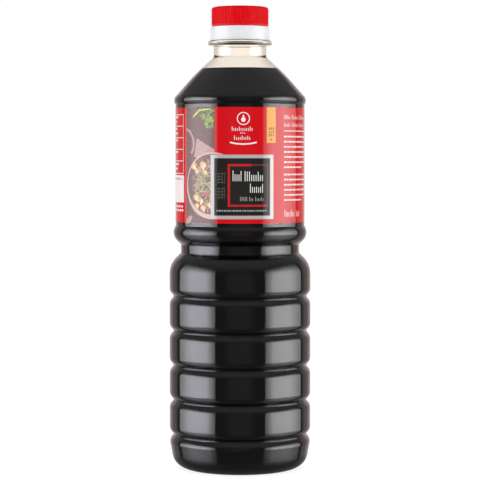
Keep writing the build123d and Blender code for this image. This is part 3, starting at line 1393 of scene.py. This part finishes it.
    def lay_mushrooms(self) -> None:
        """Mushroom caps, each with a paler stalk on it."""
        caps = Stencil("print_mushrooms", 7)
        for x, z, size, tilt in self.mushrooms:
            caps.oval(*mm(x, z, size, 0.78 * size), radians(tilt))
        self.label.lay(caps, Tone.MUSHROOMS, 0.2)
        stalks = Stencil("print_mushroom_stalks", 8)
        for x, z, size, tilt in self.mushrooms:
            place = mm(x + 0.1 * size, z - 0.2 * size, 0.42 * size, 0.85 * size)
            stalks.oval(*place, radians(tilt + 10))
        self.label.lay(stalks, Tone.STALKS, 0.12)

    def lay_leaves(self, rng: random.Random) -> None:
        """Leaves of the sprig with the shaded and the bright parts of the spring onion."""
        leaves = Stencil("print_leaves_dark", 7)
        for _ in range(self.dark_leaves):
            self.add_leaf(leaves, rng)
        for x, z in self.onions:
            leaves.oval(*mm(x + 1.5, z - 1.1, 2.2, 0.8), rng.uniform(0, pi), 10)
            leaves.trim(self.right, False)
        self.label.lay(leaves, Tone.DARK_LEAVES, 0.3)
        bright = Stencil("print_leaves_bright", 8)
        for _ in range(self.bright_leaves):
            self.add_leaf(bright, rng)
        for x, z in self.onions:
            bright.stroke(*mm(x, z, 0.85, 0.5), rng.uniform(0, 90), 270)
        self.label.lay(bright, Tone.BRIGHT_LEAVES, 0.2)

    def add_leaf(self, sheet: Stencil, rng: random.Random) -> None:
        """Adds one leaf to the sprig, which hangs to the right and narrows downwards."""
        drop = rng.random() ** 1.2
        x = rng.uniform(self.sprig_left + self.sprig_taper * drop, self.sprig_right)
        z = self.sprig_top - self.sprig_height * drop
        length, width = rng.uniform(*self.leaf_length), rng.uniform(*self.leaf_width)
        sheet.oval(x, z, length, width, rng.uniform(0, pi), 8)
        sheet.trim(self.right, False)


@dataclass
class NamePlate:
    """Black name plate with its silver frame, its thin inner square and plain ticks."""

    label: Label
    left: float = -17.0 * MM
    foot: float = 3.2 * MM
    width: float = 36.6 * MM
    height: float = 36.1 * MM
    rail: float = 1.95 * MM             # the silver frame's level parts
    post: float = 2.2 * MM              # the silver frame's upright parts
    # Left, foot, width and height of the square's lines
    bright_lines: tuple[tuple[float, ...], ...] = (
        (-6.9, 10.2, 1.3, 23.9), (-5.6, 32.8, 12.0, 1.3), (-5.6, 10.2, 21.0, 1.1),
    )
    faded_lines: tuple[tuple[float, ...], ...] = ((6.4, 33.1, 9.8, 0.9), (15.4, 10.2, 0.8, 22.9))
    # Left, foot, width and height of each word
    name_words: tuple[tuple[float, ...], ...] = (
        (-4.1, 24.5, 5.6, 6.0), (2.6, 24.5, 11.2, 5.6), (5.6, 18.0, 8.2, 5.2),
    )
    motto_words: tuple[tuple[float, ...], ...] = (
        (0.1, 13.4, 4.4, 2.4), (5.2, 13.4, 2.6, 2.4), (8.6, 13.4, 5.2, 2.4),
    )

    def build(self) -> None:
        """Lays every colour of the plate."""
        rail, post = self.rail, self.post
        frame = Stencil("print_plate_frame", 9)
        frame.frame(self.left, self.foot, self.width, self.height, rail, post)
        self.label.lay(frame, Tone.SILVER, gloss=1.0)
        plate = Stencil("print_plate_black", 9)
        plate.bar(
            self.left + post, self.foot + rail, self.width - 2 * post, self.height - 2 * rail
        )
        self.label.lay(plate, Tone.BLACK, 0.1)
        for name, tone, lines in (
            ("print_square_red", Tone.BRIGHT_SQUARE, self.bright_lines),
            ("print_square_faded", Tone.FADED_SQUARE, self.faded_lines),
        ):
            square = Stencil(name, 10)
            for line in lines:
                square.bar(*mm(*line))
            self.label.lay(square, tone)
        rng = random.Random(3)
        self.lay_marks(rng)
        self.lay_words(rng)

    def lay_marks(self, rng: random.Random) -> None:
        """Two faint upright blocks of level and upright lines, on the plate's left."""
        marks = Stencil("print_plate_marks", 10)
        for row in range(9):
            if row != 4:
                marks.bar(*mm(-13.1, 15.0 + 1.7 * row, rng.uniform(3.0, 5.2), 0.35))
        for x in (-12.2, -10.2, -8.8):
            marks.bar(*mm(x, 14.6, 0.3, 6.4))
            marks.bar(*mm(x, 23.2, 0.3, 5.8))
        self.label.lay(marks, Tone.PLATE_MARKS)

    def lay_words(self, rng: random.Random) -> None:
        """Ticks for the words in the square, and dashes along the plate's foot."""
        name = Stencil("print_plate_name", 10)
        for word in self.name_words:
            name.pickets(*mm(*word), rng)
        self.label.lay(name, Tone.NAME)
        motto = Stencil("print_plate_motto", 10)
        for word in self.motto_words:
            motto.pickets(*mm(*word), rng, 0.85 * MM)
        motto.words(*mm(-13.4, 7.5, 29.0, 0.8), rng, (0.6, 1.9))
        self.label.lay(motto, Tone.MOTTO)


@dataclass
class FrontPrint:
    """Emblem of a drop in a thin ring over rows of ticks, and the tab at the top edge."""

    label: Label
    middle: float = 1.9                 # the emblem's
    ring_height: float = 59.5
    tick_pitch: float = 1.05 * MM
    # Left, foot, width and height of the rows of ticks
    emblem_rows: tuple[tuple[float, ...], ...] = (
        (-4.6, 52.6, 12.2, 2.5), (0.3, 51.0, 3.2, 0.9), (-3.3, 47.6, 9.6, 2.4),
    )
    tab_left: float = 15.4 * MM
    tab_foot: float = 45.9 * MM
    tab_width: float = 5.7 * MM
    tab_columns: tuple[float, ...] = (16.8, 18.1, 19.3)
    tab_rows: tuple[float, ...] = (49.6, 51.4, 53.2)

    def build(self) -> None:
        """Lays every colour of the emblem and the tab."""
        rng = random.Random(5)
        emblem = Stencil("print_emblem", 2)
        emblem.oval(*mm(self.middle, self.ring_height - 0.6, 2.5, 2.6), sides=24)
        emblem.oval(*mm(self.middle, self.ring_height + 0.7, 1.0, 3.0), sides=16)
        emblem.stroke(*mm(self.middle, self.ring_height, 3.4, 0.5), 0, 360)
        emblem.stroke(*mm(self.middle, 74.4, 29.2, 0.8), 255, 30)
        for row in self.emblem_rows:
            emblem.pickets(*mm(*row), rng, self.tick_pitch)
        self.label.lay(emblem, Tone.EMBLEM)

        tab = Stencil("print_tab", 2)
        top = self.label.height + self.label.foot_cut
        tab.bar(self.tab_left, self.tab_foot, self.tab_width, top - self.tab_foot)
        self.label.lay(tab, Tone.TAB)
        marks = Stencil("print_tab_marks", 3)
        for x in self.tab_columns:
            for z in self.tab_rows:
                marks.bar(*mm(x, z, 0.75, rng.uniform(0.8, 1.5)))
        marks.bar(*mm(17.7, 47.4, 1.2, 0.8))
        self.label.lay(marks, Tone.TAB_MARKS)


@dataclass
class SmallPrint:
    """White rows, rules and boxes on both sides of the front."""

    label: Label
    column_left: float = 27.2           # the column on the right, which runs out of view
    column_width: float = 36.0
    bold_rows: tuple[float, ...] = (59.3, 55.1)
    # Start and width of a bold row's words
    bold_words: tuple[tuple[float, float], ...] = ((0.0, 5.4), (6.6, 7.2), (15.0, 9.0), (25.2, 6.4))
    paragraphs: tuple[tuple[float, int], ...] = ((49.1, 7), (27.7, 6))      # first row, rows
    row_pitch: float = 2.88
    table_left: float = -64.0
    table_right: float = -38.6
    table_rules: tuple[float, ...] = (28.7, 35.8, 42.4, 49.0, 55.6, 62.1)
    table_rows: tuple[float, ...] = (57.6, 51.0, 44.4, 37.8, 30.9)
    rule: float = 0.4
    box: tuple[float, ...] = (-62.0, 12.2, 23.9, 15.4)      # left, foot, width and height

    def build(self) -> None:
        """Lays the white print, and the tinted row in the white box."""
        rng = random.Random(11)
        rows = Stencil("print_white_rows", 2)
        self.add_column(rows, rng)
        self.add_table(rows, rng)
        self.label.lay(rows, Tone.ROWS)
        tint = Stencil("print_box_rows", 3)
        tint.words(*mm(-60.5, 25.0, 21.0, 1.2), rng, (1.0, 3.0))
        self.label.lay(tint, Tone.BOX_ROWS)

    def add_column(self, rows: Stencil, rng: random.Random) -> None:
        """Adds two bold rows, a rule, two paragraphs and the fill, right of the front."""
        left, width = self.column_left, self.column_width
        for z in self.bold_rows:
            for start, length in self.bold_words:
                rows.pickets(*mm(left + start, z, length, 2.4), rng, 0.95 * MM)
        rows.bar(*mm(left, 52.5, width, 0.45))
        for first, count in self.paragraphs:
            for row in range(count):
                length = width if row < count - 1 else 0.5 * width
                rows.words(*mm(left, first - self.row_pitch * row, length, 0.85), rng, (0.9, 3.2))
        rows.pickets(*mm(left + 0.4, 4.3, 9.0, 4.2), rng)
        rows.pickets(*mm(left + 11.0, 4.3, 4.4, 3.2), rng)

    def add_table(self, rows: Stencil, rng: random.Random) -> None:
        """Adds the ruled table, the white box under it and two rows, left of the front."""
        left, right, rule = self.table_left, self.table_right, self.rule
        for z in self.table_rules:
            rows.bar(*mm(left, z - rule / 2, right - left, rule))
        for x in (left, right - rule):
            rows.bar(*mm(x, 28.9, rule, 33.0))
        for z in self.table_rows:
            for offset in (0.0, 2.6):
                rows.words(*mm(left + 1.5, z + offset, rng.uniform(9, 22), 1.1), rng, (1.2, 3.5))
        rows.bar(*mm(*self.box))
        for z in (9.3, 7.1):
            rows.words(*mm(self.box[0], z, 23.6, 1.2), rng, (0.8, 2.0))


# ---------------------------------------------------------------- studio


# A step between two parts of the room: where it lies, and how far it reaches to either side
Step = tuple[float, float]


@dataclass
class Studio:
    """Camera, pale floor and soft light.

    Directions are those of the world's Generated coordinates: X to the right, Y away from the
    camera and Z up, with a length of 1. Turns are in degrees from the view.
    """

    view_height: float = 179.5 * MM
    view_distance: float = 1130 * MM
    aim_height: float = 132.07 * MM
    lens: float = 146.5
    sensor: float = 36.0
    floor_width: float = 8.0
    floor_tone: float = 0.22            # takes the bottle's shadow
    floor_glow: float = 0.86
    bounce_tone: float = 0.8            # for light that the floor throws back
    mirrored_glow: float = 0.17         # the floor in reflections
    mirrored_floor: float = 50 * MM     # how far out reflections show it
    panel_left: Step = (41.0, 115.5)    # first and last turn of each light panel
    panel_right: Step = (41.6, 117.4)
    panel_levels: tuple[float, float] = (6.2, 5.6)      # left and right
    panel_edge: float = 1.6             # degrees
    panel_near: tuple[float, Step] = (0.7, (9.0, 10.0))     # dimming towards the near edge
    panel_far: tuple[float, Step] = (0.72, (18.0, 20.0))    # dimming towards the far edge
    panel_foot: Step = (-0.152, 0.02)
    panel_head: Step = (0.0, 0.3)
    panel_head_slope: float = 0.42      # the head rises this much as it runs aside
    panel_rise: tuple[float, Step] = (0.36, (0.0, 0.75))    # brightening upwards
    panel_rise_slope: float = 0.9
    room_level: float = 0.13
    ahead_level: float = 0.23
    ahead_step: Step = (0.93, 0.04)
    ceiling_level: float = 0.38
    ceiling_step: Step = (0.55, 0.35)
    side_level: float = 0.42            # beyond the light panels
    side_step: Step = (0.56, 0.06)
    side_head: Step = (0.38, 0.12)
    backdrop_level: float = 0.75
    backdrop_step: Step = (0.86, 0.1)
    through_levels: tuple[float, float] = (0.85, 1.09)  # beside and behind the clear neck
    through_step: Step = (0.35, 0.3)
    through_aside: tuple[float, Step] = (0.32, (0.1, 0.04))     # dimming aside
    soft_level: float = 0.9             # light on the bottle from all round
    soft_above: tuple[float, Step] = (0.22, (0.3, 0.9))     # and more of it from above
    soft_panels: float = 0.42           # and from the panels
    cool: Colour = (0.97, 0.97, 1.06)
    warm: Colour = (1.12, 0.96, 0.94)
    cream: Colour = (1.0, 0.92, 0.815)

    def build(self) -> None:
        """Sets up the camera, the floor and the light."""
        bpy.context.scene.view_settings.view_transform = "Standard"
        self.add_camera()
        self.add_floor()
        self.light_world()

    def add_camera(self) -> None:
        """Camera in front of the label, a little above the waist, aimed at the bottle's middle."""
        bpy.ops.object.select_all(action="DESELECT")
        drop = self.view_height - self.aim_height
        tilt = pi / 2 - Vector((self.view_distance, drop)).angle(Vector((1, 0)))
        bpy.ops.object.camera_add(
            location=(0, -self.view_distance, self.view_height), rotation=(tilt, 0, 0)
        )
        camera = bpy.context.active_object
        camera.name = "camera"
        camera.data.lens = self.lens
        camera.data.sensor_width = self.sensor
        camera.data.clip_start = 0.05
        bpy.context.scene.camera = camera

    def add_floor(self) -> None:
        """Pale floor that glows for the camera and keeps the bottle's shadow."""
        bpy.ops.object.select_all(action="DESELECT")
        bpy.ops.mesh.primitive_plane_add(size=self.floor_width)
        floor = bpy.context.active_object
        floor.name = "floor"
        floor.data.materials.append(self.floor_material())

    def floor_material(self) -> bpy.types.Material:
        """White for the camera, pale for light, and a small dim patch for reflections."""
        material = bpy.data.materials.new("pale_floor")
        recipe = Recipe(material)
        path = recipe.node("ShaderNodeLightPath")

        def diffuse(tone: float) -> bpy.types.NodeSocket:
            """Matt grey surface."""
            return recipe.node("ShaderNodeBsdfDiffuse", None, {"Color": grey(tone)}).outputs[0]

        def glow(level: float) -> bpy.types.NodeSocket:
            """White light of a level."""
            inputs = {"Color": grey(1.0), "Strength": level}
            return recipe.node("ShaderNodeEmission", None, inputs).outputs[0]

        def choose(factor: Any, first: Any, second: Any) -> bpy.types.NodeSocket:
            """First shader where the factor is 0 and second where it is 1."""
            inputs = {0: factor, 1: first, 2: second}
            return recipe.node("ShaderNodeMixShader", None, inputs).outputs[0]

        shadowed = recipe.node(
            "ShaderNodeAddShader", None, {0: diffuse(self.floor_tone), 1: glow(self.floor_glow)}
        )
        away = recipe.node("ShaderNodeVectorMath", {"operation": "LENGTH"}, {0: recipe.place()})
        far_out = recipe.wire(away, "Value").above(self.mirrored_floor, 0.3 * self.mirrored_floor)
        gone = recipe.node("ShaderNodeBsdfTransparent").outputs[0]
        mirrored = choose(far_out, glow(self.mirrored_glow), gone)
        seen = choose(path.outputs["Is Glossy Ray"], diffuse(self.bounce_tone), mirrored)
        straight = recipe.wire(path, "Is Camera Ray") + recipe.wire(path, "Is Transmission Ray")
        surface = choose(straight.above(0.5, 0.1), seen, shadowed.outputs[0])
        recipe.node("ShaderNodeOutputMaterial", None, {"Surface": surface})
        return material

    def light_world(self) -> None:
        """White all round for the camera, and for reflections a dim room with two light panels."""
        world = bpy.data.worlds.new("studio")
        bpy.context.scene.world = world
        recipe = Recipe(world)
        path = recipe.node("ShaderNodeLightPath")
        direction = recipe.node("ShaderNodeTexCoord").outputs["Generated"]
        parts = recipe.node("ShaderNodeSeparateXYZ", None, {0: direction})
        x, y, z = (recipe.wire(parts, axis) for axis in range(3))
        round_view = x.direction_of(-y)
        left = self.panel(-round_view, *self.panel_left)
        right = self.panel(round_view, *self.panel_right)
        aside = x.size()
        beside = y.above(*self.side_step) * (1 - z.above(*self.side_head))

        panels = self.panel_levels[0] * left + self.panel_levels[1] * right
        mirrored = self.room(y, z, beside) + self.panel_height(aside, z) * panels
        more, step = self.soft_above
        soft = self.soft_level + more * z.above(*step) + self.soft_panels * (left + right)
        low, high = self.through_levels
        less, step = self.through_aside
        clear = low + (high - low) * y.above(*self.through_step)
        clear = clear * (1 - less * aside.above(*step))

        camera = recipe.wire(path, "Is Camera Ray")
        through = recipe.wire(path, "Is Transmission Ray")
        glossy = recipe.wire(path, "Is Glossy Ray") * (1 - through)
        other = (1 - camera) * (1 - glossy) * (1 - through)
        level = camera + glossy * mirrored + through * clear + other * soft
        cooled = recipe.mix(left, grey(1.0), opaque(self.cool))
        tint = recipe.mix(beside, cooled, opaque(self.warm))
        cream = recipe.mix(through, grey(1.0), opaque(self.cream))
        colour = recipe.mix(glossy, cream, tint)
        background = recipe.node(
            "ShaderNodeBackground", None, {"Color": colour, "Strength": level}
        )
        recipe.node("ShaderNodeOutputWorld", None, {"Surface": background.outputs[0]})

    def room(self, y: Wire, z: Wire, beside: Wire) -> Wire:
        """Level of the room round the panels, as reflections show it.

        Args:
            y: The direction's part away from the camera.
            z: The direction's part upwards.
            beside: 1 for the walls beyond the panels, 0 elsewhere.

        Returns:
            The room's level.
        """
        ahead = (-y).above(*self.ahead_step)
        behind = y.above(*self.backdrop_step)
        level = self.room_level + (self.ahead_level - self.room_level) * ahead
        level = level + (self.ceiling_level - self.room_level) * z.above(*self.ceiling_step)
        level = level + (self.side_level - self.room_level) * beside
        return level + (self.backdrop_level - self.side_level) * behind

    def panel_height(self, aside: Wire, z: Wire) -> Wire:
        """Brightness of the panels up their height: a sharp foot, more light above, a soft head."""
        more, step = self.panel_rise
        rising = (z + self.panel_rise_slope * aside).above(*step)
        tall = (1 - more) * z.above(*self.panel_foot) + more * rising
        return tall * (1 - (z - self.panel_head_slope * aside).above(*self.panel_head))

    def panel(self, turn: Wire, first: float, last: float) -> Wire:
        """Light panel between two turns from the view, brightest a third of the way across."""
        near, far = radians(first), radians(last)
        sheet = turn.between(near, far, radians(self.panel_edge))
        less, (place, reach) = self.panel_near
        rise = (1 - less) + less * turn.above(near + radians(place), radians(reach))
        less, (place, reach) = self.panel_far
        return sheet * rise * (1 - less * turn.above(far - radians(place), radians(reach)))


def main() -> None:
    """Builds the bottle, its closure, its label and the studio round the frame."""
    logging.basicConfig(level=logging.INFO, format="%(name)s: %(message)s")
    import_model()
    bottle_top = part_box("bottle")[1]
    shape = BottleShape(rib_radius=bottle_top.x, mouth=bottle_top.z)
    Bottle(shape, level=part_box("soy_sauce")[1].z).build()
    tube = shape.neck_radius - shape.finish_step
    Closure(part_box("collar"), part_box("screw_cap"), tube, bottle_top.z).build()
    label = Label(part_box("label"))
    label.build()
    for artwork in (BowlPicture, NamePlate, FrontPrint, SmallPrint):
        artwork(label).build()
    Studio().build()


if __name__ == "__main__":
    main()
